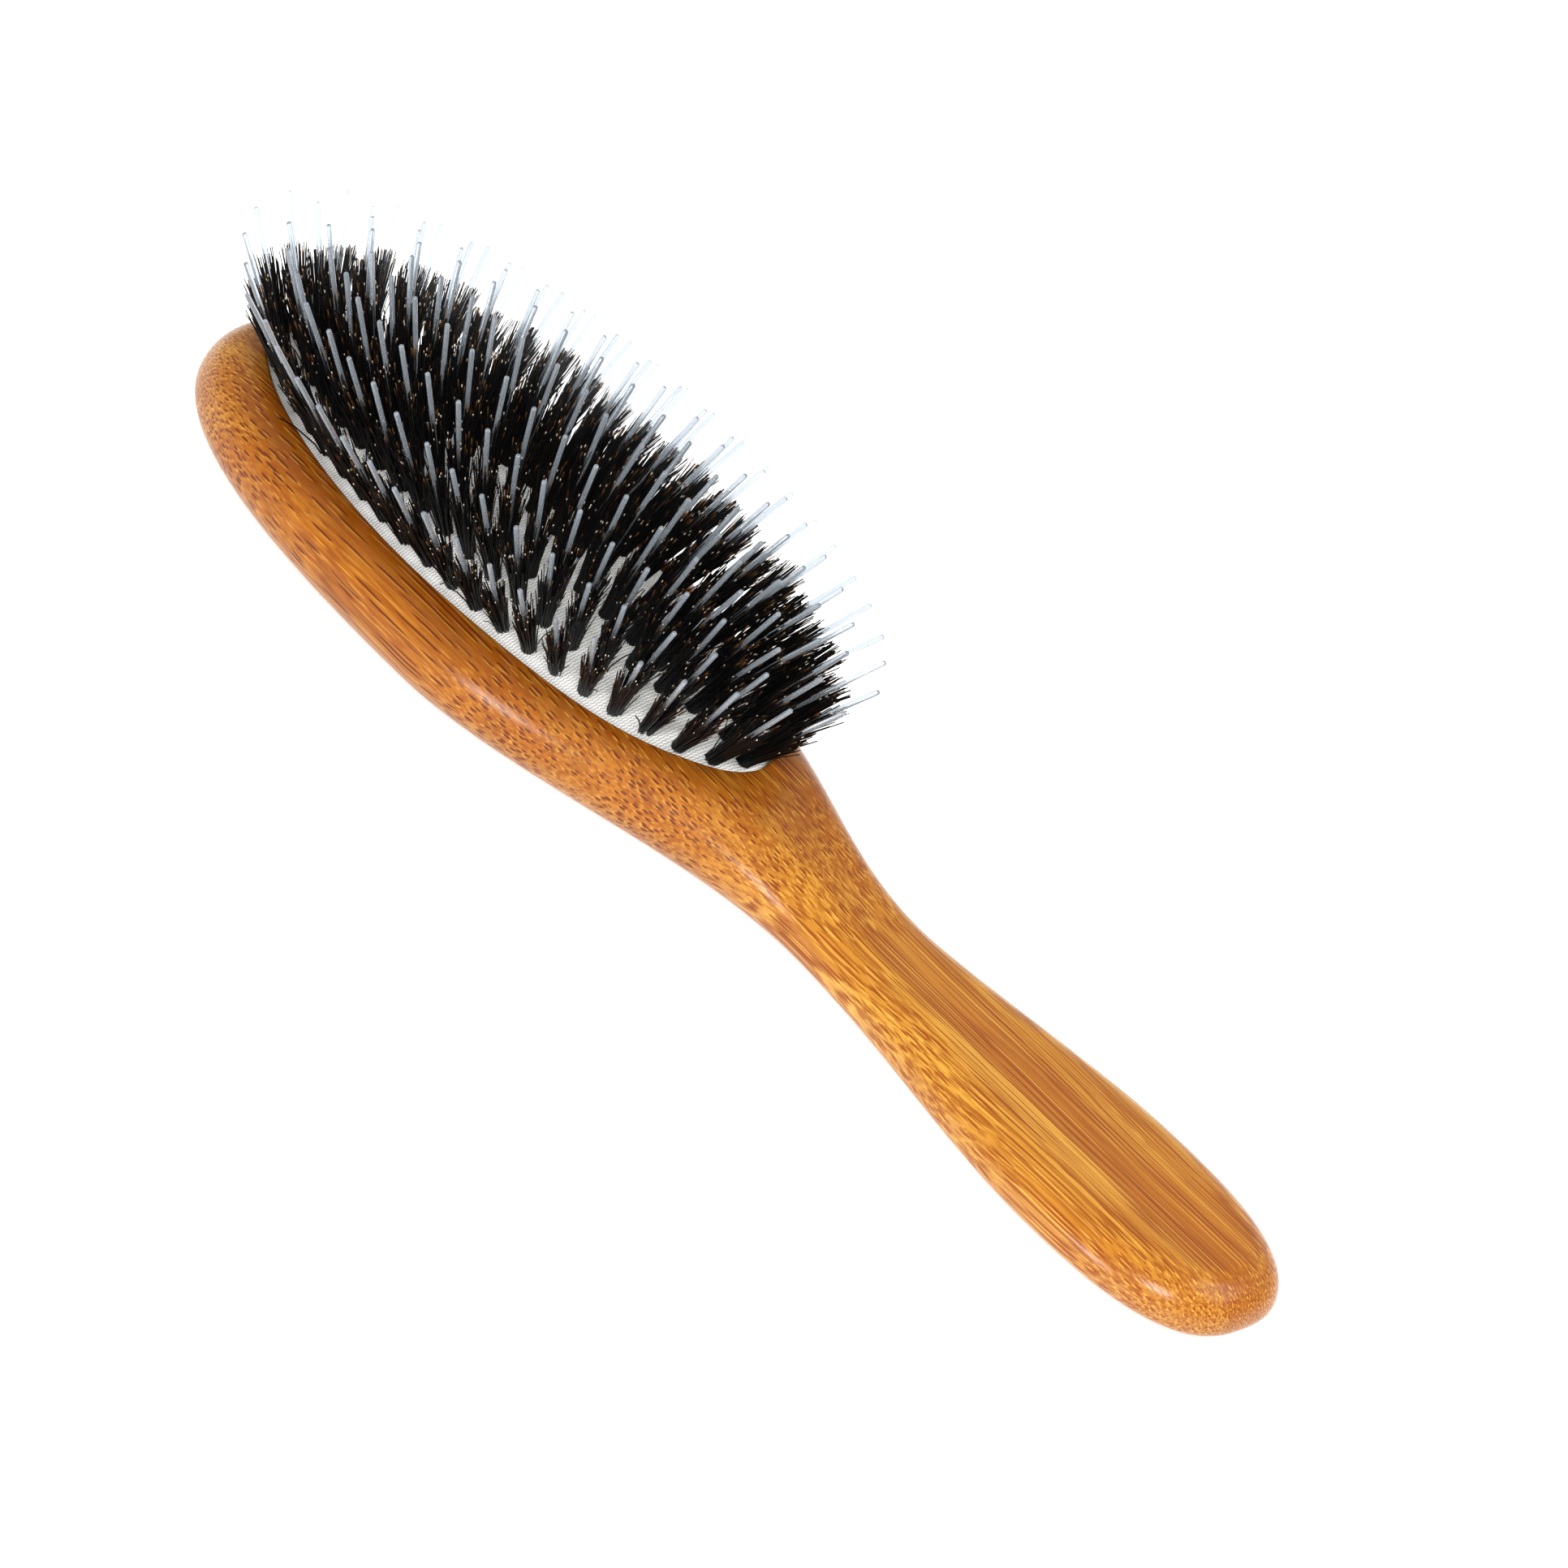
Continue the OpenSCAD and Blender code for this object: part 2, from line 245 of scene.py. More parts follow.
def body_mesh():
    """Closed bamboo body with its pocket for the cushion."""
    loop, inward = outline_loop()
    count = len(loop)
    points, faces = [], []

    def add(xy, z):
        first = sum(len(p) for p in points)
        points.append(np.column_stack([xy[:, 0] + HEAD_TIP, xy[:, 1], z]))
        return list(range(first, first + len(xy)))

    def offset_ring(phase):
        inset = roll(loop[:, 0]) * (1 - cos(pi / 2 * phase))
        xy = loop + inward * inset[:, None]
        side_z = SIDE_LEVEL * top_z(xy[:, 0])
        low = side_z * (1 + sin(pi / 2 * phase))
        high = side_z + (top_z(xy[:, 0]) - side_z) * sin(pi / 2 * phase)
        return xy, low if phase < 0 else high

    # Rounded side, from the back's edge up to most of the way over the top edge
    phases = list(np.linspace(-1, 0, LOW_SIDE_STEPS))
    phases += list(np.linspace(0, HIGH_SIDE_END, HIGH_SIDE_STEPS)[1:])
    rings = [add(*offset_ring(phase)) for phase in phases]
    for lower, upper in zip(rings, rings[1:]):
        faces.extend(band(lower, upper))

    # Flat back: strips between the two sides
    back = rings[0]
    for i in range(SIDE_N):
        quad = [back[i + 1], back[i], back[(count - i) % count], back[count - i - 1]]
        faces.append(tuple(dict.fromkeys(quad)))

    # Handle top: strips across, from the cut just past the cushion to the handle tip
    top_ring, top_xy = rings[-1], offset_ring(phases[-1])[0]
    rows = []
    for i in range(CUT_I, SIDE_N):
        near, far = top_xy[i], top_xy[count - i]
        share = np.linspace(0, 1, ACROSS_N + 1)[1:-1, None]
        xy = near + (far - near) * share
        row = add(xy, top_face_z(loop, xy))
        rows.append([top_ring[i]] + row + [top_ring[count - i]])
    for row, following in zip(rows, rows[1:]):
        for k in range(ACROSS_N):
            faces.append((row[k], following[k], following[k + 1], row[k + 1]))
    last, tip = rows[-1], top_ring[SIDE_N]
    for k in range(ACROSS_N):
        faces.append((last[k], tip, last[k + 1]))

    # Head top: from the rounded edge and the cut to the pocket's lip
    cut_row = rows[0]
    outer = [top_ring[i] for i in range(CUT_I, -1, -1)]
    outer += [top_ring[i] for i in range(count - 1, count - CUT_I - 1, -1)]
    outer += cut_row[1:-1][::-1]
    everything = np.vstack(points)
    outer_xy = everything[outer][:, :2] - [HEAD_TIP, 0]
    angle = np.arctan2(outer_xy[:, 1] / HEAD_HALF_W, (outer_xy[:, 0] - PAD_X) / (PAD_X + 1.0))
    lip_xy = oval(PAD_A + LIP_R, PAD_B + LIP_R, angle) + [PAD_X, 0]
    previous = outer
    for share in np.linspace(0, 1, HEAD_TOP_STEPS)[1:]:
        xy = outer_xy + (lip_xy - outer_xy) * share
        lip_z = top_face_z(loop, xy)
        ring = add(xy, lip_z)
        faces.extend(band(ring, previous))
        previous = ring

    # Rounded lip, ledge, air chamber and its floor
    for t in np.linspace(0, pi / 2, LIP_STEPS)[1:]:
        out, drop = LIP_R * (1 - sin(t)), LIP_R * (1 - cos(t))
        ring = add(oval(PAD_A + out, PAD_B + out, angle) + [PAD_X, 0], lip_z - drop)
        faces.extend(band(ring, previous))
        previous = ring
    for inset, z in [(0, LEDGE_Z), (LEDGE_W, LEDGE_Z), (LEDGE_W, FLOOR_Z), (FLOOR_INSET, FLOOR_Z)]:
        xy = oval(PAD_A - inset, PAD_B - inset, angle) + [PAD_X, 0]
        ring = add(xy, np.full(len(xy), z))
        faces.extend(band(ring, previous))
        previous = ring
    centre = add(np.array([[PAD_X, 0.0]]), np.array([FLOOR_Z]))[0]
    for i in range(len(previous)):
        faces.append((previous[(i + 1) % len(previous)], previous[i], centre))
    return np.vstack(points), faces


# ---- Cushion ----
GRID_X, GRID_Y = 260, 110


def disc_grid():
    """Even grid over the unit disc, with the numbers of its rim points in order."""
    u, v = np.meshgrid(np.linspace(-1, 1, GRID_X + 1), np.linspace(-1, 1, GRID_Y + 1), indexing="ij")
    disc = np.stack([u * np.sqrt(1 - v * v / 2), v * np.sqrt(1 - u * u / 2)], axis=-1).reshape(-1, 2)
    number = np.arange(len(disc)).reshape(GRID_X + 1, GRID_Y + 1)
    quads = np.stack([number[:-1, :-1], number[1:, :-1], number[1:, 1:], number[:-1, 1:]], axis=-1)
    rim = list(number[:, 0]) + list(number[-1, 1:]) + list(number[-2::-1, -1]) + list(number[0, -2:0:-1])
    return disc, quads.reshape(-1, 4), [int(i) for i in rim]


def pucker(xy):
    """How far the cushion is drawn down round each tuft."""
    pull = np.zeros(len(xy))
    for place in TUFTS:
        pull = np.maximum(pull, np.exp(-((xy - place) ** 2).sum(-1) / PUCKER_REACH ** 2))
    return PUCKER_DEPTH * pull


def layer_mesh(depth0, depth1, inset0, inset1):
    """Closed cushion layer: face, skirt down to the ledge, and underside."""
    disc, quads, rim = disc_grid()
    outer = disc * [PAD_A - inset0, PAD_B - inset0]
    inner = disc * [PAD_A - inset1, PAD_B - inset1]
    dip = pucker(outer)
    face = np.column_stack([outer, crown_at(outer[:, 0], outer[:, 1], depth0) - dip])
    under = np.column_stack([inner, crown_at(inner[:, 0], inner[:, 1], depth1) - dip])
    n = len(disc)
    points = [face, under]
    faces = [tuple(q) for q in quads.tolist()]
    faces += [tuple(n + i for i in reversed(q)) for q in quads.tolist()]
    top, low = rim, [n + i for i in rim]
    first = 2 * n
    for surface in (face, under):
        skirt = surface[rim].copy()
        skirt[:, 2] = LEDGE_Z + LEDGE_GAP
        points.append(skirt)
    outer_foot = list(range(first, first + len(rim)))
    inner_foot = list(range(first + len(rim), first + 2 * len(rim)))
    faces += band(outer_foot, top) + band(inner_foot, outer_foot) + band(low, inner_foot)
    everything = np.vstack(points)
    everything[:, 0] += HEAD_TIP + PAD_X
    return everything, faces


# ---- Bristles and pins ----
def tube(path, radii, sides, first):
    """Closed tube of rings along a path, numbered from first. Returns its points and faces."""
    along = np.gradient(path, axis=0)
    along /= np.linalg.norm(along, axis=1, keepdims=True)
    side = np.cross(along, [0.13, 0.99, 0.05])
    side /= np.linalg.norm(side, axis=1, keepdims=True)
    other = np.cross(along, side)
    turn = np.linspace(0, 2 * pi, sides, endpoint=False)
    ring = side[:, None] * np.cos(turn)[:, None] + other[:, None] * np.sin(turn)[:, None]
    points = (path[:, None] + ring * np.asarray(radii)[:, None, None]).reshape(-1, 3)
    faces = []
    for k in range(len(path) - 1):
        for i in range(sides):
            j = (i + 1) % sides
            a, b = first + k * sides, first + (k + 1) * sides
            faces.append((a + i, a + j, b + j, b + i))
    faces.append(tuple(first + i for i in reversed(range(sides))))
    top = first + (len(path) - 1) * sides
    faces.append(tuple(top + i for i in range(sides)))
    return points, faces


BRISTLES = 96
STRAYS = 1
BRISTLE_SIDES, PIN_SIDES = 4, 12
BRISTLE_R, BRISTLE_TAPER = 0.12, 0.30
PIN_CLEAR = 0.16
ROOT_FILL = 0.92
GAP_TURN, GAP_CHANCE = 0.7, 0.28
SPIRAL_TURN = pi * (3 - np.sqrt(5))
SPREAD_POWER = 2.0
PIN_LEVELS = [-FOOT, 4.0, 10.0, 16.0]
CAP_STEPS, TIP_SHARE = 5, 0.12


def tuft_paths(rng, place):
    """Paths of one tuft's bristles, each with the height share of its points."""
    root, axes = tuft_frame(place)
    gap_turn = rng.uniform(0, 2 * pi)
    gap_width = rng.choice([0.0, GAP_TURN], p=[1 - GAP_CHANCE, GAP_CHANCE])
    tuft_h = BRUSH_H * rng.uniform(0.94, 1.05)
    sway = rng.normal(0, 0.25, 2)
    spin = rng.uniform(0, 2 * pi)
    share_up = np.array([0, 0.35, 0.72, 1.0])[:, None]
    paths = []
    for i in range(BRISTLES + STRAYS):
        stray = i >= BRISTLES
        # Sunflower spacing fills the ring round the pin evenly
        filled = 0.95 if stray else (i + 0.5) / BRISTLES
        share = np.sqrt(PIN_CLEAR + (1 - PIN_CLEAR) * filled)
        turn = spin + i * SPIRAL_TURN + rng.normal(0, 0.1)
        # Some tufts have a gap on one side
        if not stray and abs((turn - gap_turn + pi) % (2 * pi) - pi) < gap_width / 2:
            turn = gap_turn + np.sign(rng.uniform(-1, 1)) * rng.uniform(0.5, 1.0) * pi
        root_r = ROOT_FILL * (ROOT_R - BRISTLE_R) * share
        tip_r = BRUSH_R * share * rng.uniform(0.8, 1.3)
        tip_turn = turn + rng.normal(0, 0.14)
        tip_r += rng.uniform(0.8, 2.8) if stray else 0.0
        height = tuft_h * (rng.uniform(0.6, 0.95) if stray else 1 - 0.45 * rng.uniform() ** 1.5)
        start = np.array([root_r * cos(turn), root_r * sin(turn), -FOOT])
        end = np.array([tip_r * cos(tip_turn) + sway[0], tip_r * sin(tip_turn) + sway[1], height])
        bow = np.array([*rng.normal(0, 0.07, 2), 0])
        # The tuft stays narrow at its root and spreads towards its tips
        local = start + (end - start) * share_up
        local[:, :2] = start[:2] + (end[:2] - start[:2]) * share_up ** SPREAD_POWER
        local += bow * np.sin(pi * share_up)
        paths.append((root + local @ axes, share_up[:, 0]))
    return paths


def bristles(rng, places):
    """Every bristle of some tufts: its path, radii, height shares and random tone."""
    for place in places:
        for path, share in tuft_paths(rng, place):
            radii = BRISTLE_R * rng.uniform(0.8, 1.15) * (1 - BRISTLE_TAPER * share ** 2)
            yield path, radii, share, rng.uniform()


def pins(rng, places):
    """The nylon pin of each tuft, with a rounded tip and a little out of true."""
    cap = np.linspace(0, pi / 2, CAP_STEPS)[:-1]
    levels = np.concatenate([PIN_LEVELS, PIN_H - PIN_R + PIN_R * np.sin(cap), [PIN_H]])
    radii = np.concatenate([[PIN_R] * len(PIN_LEVELS), PIN_R * np.cos(cap), [PIN_R * TIP_SHARE]])
    share = np.clip(levels / PIN_H, 0, 1)
    for place in places:
        root, axes = tuft_frame(place)
        lean = rng.normal(0, 0.35, 2)
        local = np.column_stack([lean[0] * share ** 2, lean[1] * share ** 2, levels])
        yield root + local @ axes, radii, share, rng.uniform()


def strand_mesh(strands, sides):
    """One mesh of many strands, with the tone and the height share of each point."""
    points, faces, tones, heights = [], [], [], []
    first = 0
    for path, radii, share, tone in strands:
        strand_points, strand_faces = tube(path, radii, sides, first)
        points.append(strand_points)
        faces.extend(strand_faces)
        tones.append(np.full(len(strand_points), tone))
        heights.append(np.repeat(share, sides))
        first += len(strand_points)
    return np.vstack(points), faces, np.concatenate(tones), np.concatenate(heights)


def set_uv(obj, tones, heights):
    """UV map for the strand materials: u is the strand's tone and v the height along it."""
    layer = obj.data.uv_layers.new(name="strand")
    index = np.empty(len(obj.data.loops), int)
    obj.data.loops.foreach_get("vertex_index", index)
    layer.data.foreach_set("uv", np.column_stack([tones[index], heights[index]]).ravel())


# ---- Materials ----
class Nodes:
    """Short way to write a node tree."""

    def __init__(self, name):
        self.material = bpy.data.materials.new(name)
        self.material.use_nodes = True
        self.tree = self.material.node_tree
        self.tree.nodes.clear()
        self.shader = self.tree.nodes.new("ShaderNodeBsdfPrincipled")
        output = self.tree.nodes.new("ShaderNodeOutputMaterial")
        self.tree.links.new(self.shader.outputs["BSDF"], output.inputs["Surface"])

    def put(self, socket, value):
        """Links a socket to another one, or gives it a plain value."""
        if isinstance(value, bpy.types.NodeSocket):
            self.tree.links.new(value, socket)
        else:
            socket.default_value = value

    def node(self, kind, inputs=(), **settings):
        node = self.tree.nodes.new("ShaderNode" + kind)
        for key, value in settings.items():
            setattr(node, key, value)
        for key, value in dict(inputs).items():
            self.put(node.inputs[key], value)
        return node

    def math(self, operation, *values):
        node = self.node("Math", operation=operation)
        for i, value in enumerate(values):
            self.put(node.inputs[i], value)
        return node.outputs[0]

    def step(self, value, low, high, out_low=0.0, out_high=1.0):
        """Smooth step of value from low to high."""
        node = self.node("MapRange", interpolation_type="SMOOTHSTEP")
        self.put(node.inputs["Value"], value)
        self.put(node.inputs["From Min"], low)
        self.put(node.inputs["From Max"], high)
        self.put(node.inputs["To Min"], out_low)
        self.put(node.inputs["To Max"], out_high)
        return node.outputs["Result"]

    def mix(self, share, a, b):
        """Colour a, with a share of colour b."""
        node = self.node("Mix", data_type="RGBA")
        self.put(node.inputs[0], share)
        self.put(node.inputs[6], a)
        self.put(node.inputs[7], b)
        return node.outputs[2]

    def place_mm(self):
        """Object position in millimetres, and its three parts."""
        coords = self.node("TexCoord")
        scaled = self.node("VectorMath", operation="SCALE")
        self.put(scaled.inputs[0], coords.outputs["Object"])
        scaled.inputs["Scale"].default_value = 1 / MM
        parts = self.node("SeparateXYZ")
        self.put(parts.inputs[0], scaled.outputs[0])
        return scaled.outputs[0], parts.outputs[0], parts.outputs[1], parts.outputs[2]

    def vector(self, x, y, z):
        node = self.node("CombineXYZ")
        for i, value in enumerate((x, y, z)):
            self.put(node.inputs[i], value)
        return node.outputs[0]

    def stretched(self, parts, scales):
        """Vector of three parts, each times its own scale."""
        return self.vector(*(self.math("MULTIPLY", part, scale) for part, scale in zip(parts, scales)))

    def bump(self, height, strength, distance_mm):
        node = self.node("Bump", {"Strength": strength, "Distance": distance_mm * MM})
        self.put(node.inputs["Height"], height)
        return node.outputs["Normal"]

    def noise(self, vector, scale, detail=2.0, roughness=0.5):
        node = self.node("TexNoise", noise_dimensions="3D")
        self.put(node.inputs["Vector"], vector)
        node.inputs["Scale"].default_value = scale
        node.inputs["Detail"].default_value = detail
        node.inputs["Roughness"].default_value = roughness
        return node.outputs["Fac"]

    def set(self, **values):
        """Sets the shader's sockets by their names, with underscores for spaces."""
        names = {k.replace("_", " ").lower(): k for k in values}
        for socket in self.shader.inputs:
            if socket.name.lower() in names:
                self.put(socket, values[names[socket.name.lower()]])


def rgb(r, g, b):
    return (r, g, b, 1.0)


STRIP_W = 5.9
MIDDLE_Y = 1.5
BUNDLE_SCALE = 1.40
HANDLE_FROM, HANDLE_FULL = 0.0, 60.0


def bamboo_material():
    """Glued bamboo strips on edge. The fibre bundles are tubes along x, so they show as lines where
    the surface runs with them and as dashes and dots where it cuts them."""
    m = Nodes("bamboo")
    x, y, z = m.place_mm()[1:]
    # Glued strips: each has its own tone and its own dense side
    strip = m.math("DIVIDE", m.math("SUBTRACT", y, MIDDLE_Y), STRIP_W)
    index = m.math("FLOOR", strip)
    inside = m.math("FRACT", strip)
    tone = m.node("TexWhiteNoise", {"W": index}, noise_dimensions="1D")
    flip = m.node("TexWhiteNoise", {"W": m.math("ADD", index, 41.5)}, noise_dimensions="1D")
    flipped = m.math("GREATER_THAN", flip.outputs["Value"], 0.5)
    dense = m.math("ABSOLUTE", m.math("SUBTRACT", flipped, inside))
    # Slow drift of the fibres
    slow = m.node("TexNoise", {"Scale": 1.0, "Detail": 2.0}, noise_dimensions="3D")
    m.put(slow.inputs["Vector"], m.stretched((x, y, z), (0.02, 0.06, 0.06)))
    drift = m.node("SeparateXYZ")
    m.put(drift.inputs[0], slow.outputs["Color"])
    fibre_y = m.math("MULTIPLY_ADD", drift.outputs[0], 2.0, y)
    fibre_z = m.math("MULTIPLY_ADD", drift.outputs[1], 2.0, z)

    def tubes(shift_y, shift_z, scale):
        """Distance to the nearest of many tubes along x, and two random numbers of that tube."""
        section = m.vector(m.math("ADD", fibre_y, shift_y), m.math("ADD", fibre_z, shift_z), 0.0)
        cell = m.node("TexVoronoi", voronoi_dimensions="2D", feature="F1")
        m.put(cell.inputs["Vector"], section)
        cell.inputs["Scale"].default_value = scale
        cell.inputs["Randomness"].default_value = 0.85
        own = m.node("SeparateXYZ")
        m.put(own.inputs[0], cell.outputs["Color"])
        return cell.outputs["Distance"], own.outputs[0], own.outputs[1]

    def bundles(shift_y, shift_z, width):
        """Fibre bundles that are more frequent on the strip's dense side."""
        distance, own_a, own_b = tubes(shift_y, shift_z, BUNDLE_SCALE)
        kept = m.step(m.math("SUBTRACT", m.math("MULTIPLY_ADD", dense, 0.60, 0.60), own_a), -0.06, 0.06)
        along = m.vector(m.math("MULTIPLY", x, 0.09), own_a, own_b)
        patchy = m.step(m.noise(along, 1.0, 2.0), 0.32, 0.48)
        reach = m.math("MULTIPLY_ADD", own_b, 0.09, width)
        inside_it = m.step(m.math("SUBTRACT", distance, reach), 0.05, -0.05)
        return m.math("MULTIPLY", m.math("MULTIPLY", inside_it, kept), patchy)

    def fibres(shift_y, shift_z, scale, edge, kept_from, kept_to):
        """Thinner fibres between the bundles."""
        distance, own = tubes(shift_y, shift_z, scale)[:2]
        return m.math("MULTIPLY", m.step(distance, 0.30, edge), m.step(own, kept_from, kept_to))

    core = bundles(0.0, 0.0, 0.21)
    pale = bundles(0.20, 0.15, 0.14)
    fine = fibres(3.3, 1.7, 2.0, 0.18, 0.35, 0.75)
    light = fibres(7.1, 5.9, 1.9, 0.16, 0.45, 0.85)
    # Silky fibre in long streaks, broad tone, and random darker blotches
    streak = m.noise(m.stretched((x, fibre_y, fibre_z), (0.035, 2.2, 2.2)), 1.0, 4.0, 0.6)
    cloud = m.noise(m.stretched((x, y, z), (0.05, 0.11, 0.16)), 1.0, 3.0, 0.55)
    blotch = m.noise(m.stretched((x, y, z), (0.09, 0.20, 0.20)), 1.0, 3.0, 0.6)

    # Painted shade over the head, where the tufts overhang it; it fades out along the neck and towards the
    # head's tip
    head = m.math("MULTIPLY", m.step(x, 45.0, -10.0), m.step(x, -115.0, -84.0, 0.05, 1.0))

    def towards_grip(at_middle, at_grip):
        return m.step(x, HANDLE_FROM, HANDLE_FULL, at_middle, at_grip)

    def weighted(layer, on_handle, on_head):
        return m.math("MULTIPLY", layer, m.step(head, 0.0, 1.0, on_handle, on_head))

    golden, amber = rgb(0.55, 0.262, 0.032), rgb(0.34, 0.095, 0.003)
    # The second colour here is the head's painted shade
    deep_amber, head_shade_tone = rgb(0.33, 0.090, 0.003), rgb(0.31, 0.088, 0.004)
    # The second colour here is the pale tan of the painted floor reflection
    straw, floor_reflection_tan = rgb(0.67, 0.35, 0.055), rgb(0.34, 0.24, 0.12)
    russet, cinnamon = rgb(0.22, 0.048, 0.001), rgb(0.23, 0.046, 0.001)
    # The first colour here is the painted shade of the head's top face beside the cushion
    rim_shade_tone, chestnut = rgb(0.13, 0.029, 0.001), rgb(0.15, 0.032, 0.001)
    # Colour of dashes and glue lines: the grain's own dark brown, made darker on the head to follow its
    # painted shade
    brown = m.mix(head, rgb(0.21, 0.039, 0.001), rgb(0.105, 0.018, 0.001))

    # Ground tone
    base = m.mix(m.step(tone.outputs["Value"], 0.1, 0.9, 0.0, towards_grip(0.8, 0.25)), golden, amber)
    toned = m.math("MULTIPLY_ADD", dense, 0.35, m.math("MULTIPLY", cloud, 0.9))
    base = m.mix(m.step(toned, 0.35, 0.95, 0.0, 0.65), base, amber)
    # The strip in the middle of the handle is darker, and so is the end, which took more stain
    from_middle = m.math("ABSOLUTE", m.math("SUBTRACT", y, MIDDLE_Y - STRIP_W / 2))
    middle = m.step(from_middle, STRIP_W / 2 + 0.9, STRIP_W / 2 - 0.1)
    base = m.mix(m.math("MULTIPLY", middle, towards_grip(0.10, 0.70)), base, deep_amber)
    base = m.mix(m.step(x, 86.0, 108.0, 0.0, 0.50), base, deep_amber)
    # Painted shade on the head, where the tufts overhang it
    base = m.mix(m.math("MULTIPLY", head, 0.60), base, head_shade_tone)
    # Deepest on the head's top face beside the cushion: painted shade of the overhanging tufts and a
    # painted reflection of the black bristles
    base = m.mix(m.math("MULTIPLY", head, m.step(z, 11.0, 14.4, 0.0, 0.60)), base, rim_shade_tone)
    # Darker in random blotches, within the head's painted shade
    base = m.mix(m.math("MULTIPLY", head, m.step(blotch, 0.46, 0.66, 0.0, 0.45)), base, chestnut)
    # Painted reflection of the white floor: the lower side is paler
    base = m.mix(m.step(z, 8.0, 2.5, 0.0, 0.35), base, floor_reflection_tan)
    # Fibres and bundles
    base = m.mix(m.step(streak, 0.42, 0.61, 0.0, 0.72), base, russet)
    base = m.mix(weighted(light, 0.60, 0.30), base, straw)
    base = m.mix(weighted(fine, 0.75, 0.45), base, cinnamon)
    base = m.mix(weighted(pale, 0.50, 0.28), base, straw)
    base = m.mix(weighted(core, 0.75, 0.92), base, brown)
    # Glue lines between strips
    edge = m.math("MINIMUM", inside, m.math("SUBTRACT", 1.0, inside))
    base = m.mix(m.step(edge, 0.020, 0.006, 0.0, 0.22), base, brown)
    height = m.math("MULTIPLY_ADD", core, -0.6, m.math("MULTIPLY", streak, 0.25))
    m.set(
        base_color=base,
        roughness=m.step(streak, 0.3, 0.8, 0.34, 0.46),
        normal=m.bump(height, 0.35, 0.08),
        specular_ior_level=0.08,
        coat_weight=0.30,
        coat_roughness=0.20,
    )
    return m.material


THREAD = 0.5


def fabric_material():
    """Ribbed off-white weave."""
    m = Nodes("woven_facing")
    place, x, y = m.place_mm()[:3]
    wobble = m.noise(place, 0.35, 2.0)
    along = m.math("MULTIPLY_ADD", wobble, 0.35, x)
    across = m.math("MULTIPLY_ADD", wobble, -0.35, y)
    warp = m.math("SINE", m.math("MULTIPLY", along, 2 * pi / THREAD))
    weft = m.math("SINE", m.math("MULTIPLY", across, 2 * pi / (THREAD * 1.5)))
    rib = m.math("ABSOLUTE", m.math("SINE", m.math("MULTIPLY", along, pi / THREAD)))
    weave = m.math("MULTIPLY_ADD", m.math("MULTIPLY", warp, weft), 0.30, m.math("MULTIPLY", rib, 0.6))
    fuzz = m.noise(place, 6.0, 3.0, 0.65)
    height = m.math("MULTIPLY_ADD", fuzz, 0.25, weave)
    pale, weave_hollow_shade = rgb(0.97, 0.967, 0.945), rgb(0.60, 0.59, 0.55)
    # Painted shade in the hollows of the weave, where its height is low
    colour = m.mix(m.step(weave, 0.05, 0.55), weave_hollow_shade, pale)
    colour = m.mix(m.step(m.noise(place, 0.12, 3.0), 0.35, 0.7, 0.0, 0.18), colour, rgb(0.84, 0.82, 0.77))
    m.set(
        base_color=colour,
        roughness=0.86,
        normal=m.bump(height, 0.8, 0.22),
        sheen_weight=0.15,
        specular_ior_level=0.25,
    )
    return m.material


def rubber_material():
    """Matt moulded rubber."""
    m = Nodes("membrane_rubber")
    place = m.place_mm()[0]
    grain = m.noise(place, 2.2, 4.0, 0.6)
    m.set(
        base_color=m.mix(grain, rgb(0.62, 0.56, 0.46), rgb(0.70, 0.65, 0.55)),
        roughness=0.72,
        normal=m.bump(grain, 0.25, 0.05),
    )
    return m.material


def strand_uv(m):
    """Random tone of a strand, and the height along it from 0 to 1."""
    uv = m.node("UVMap", uv_map="strand")
    parts = m.node("SeparateXYZ")
    m.put(parts.inputs[0], uv.outputs[0])
    return parts.outputs[0], parts.outputs[1]


def bristle_material():
    """Black boar bristle with some browner hairs and amber tips, and pale specks at a few tips that are
    partly pale hair ends and partly painted highlight.
    """
    m = Nodes("boar_bristle")
    tone, height = strand_uv(m)
    place = m.place_mm()[0]
    black, brown = rgb(0.0028, 0.0027, 0.0028), rgb(0.010, 0.0062, 0.0042)
    base = m.mix(m.step(tone, 0.78, 1.0), black, brown)
    other = m.math("FRACT", m.math("MULTIPLY", tone, 7.3))
    amber = m.math("MULTIPLY", m.step(height, 0.90, 1.0), m.step(other, 0.80, 0.98, 0.0, 0.6))
    base = m.mix(amber, base, rgb(0.26, 0.115, 0.032))
    # Pale specks at a few tips: partly the pale ends of the hairs, partly painted highlight
    cut = m.math("MULTIPLY", m.step(height, 0.97, 0.995), m.math("LESS_THAN", other, 0.10))
    base = m.mix(cut, base, rgb(0.62, 0.52, 0.38))
    scales = m.noise(place, 9.0, 2.0)
    m.set(
        base_color=base,
        roughness=m.step(scales, 0.3, 0.7, 0.34, 0.5),
        normal=m.bump(scales, 0.3, 0.02),
        specular_ior_level=0.13,
    )
    return m.material


def nylon_material():
    """Milky translucent nylon."""
    m = Nodes("clear_nylon")
    tone = strand_uv(m)[0]
    place = m.place_mm()[0]
    base = m.mix(tone, rgb(0.58, 0.64, 0.70), rgb(0.66, 0.72, 0.77))
    haze = m.noise(place, 1.6, 3.0)
    m.set(
        base_color=base,
        roughness=m.step(haze, 0.3, 0.7, 0.10, 0.16),
        transmission_weight=0.82,
        ior=1.50,
    )
    return m.material


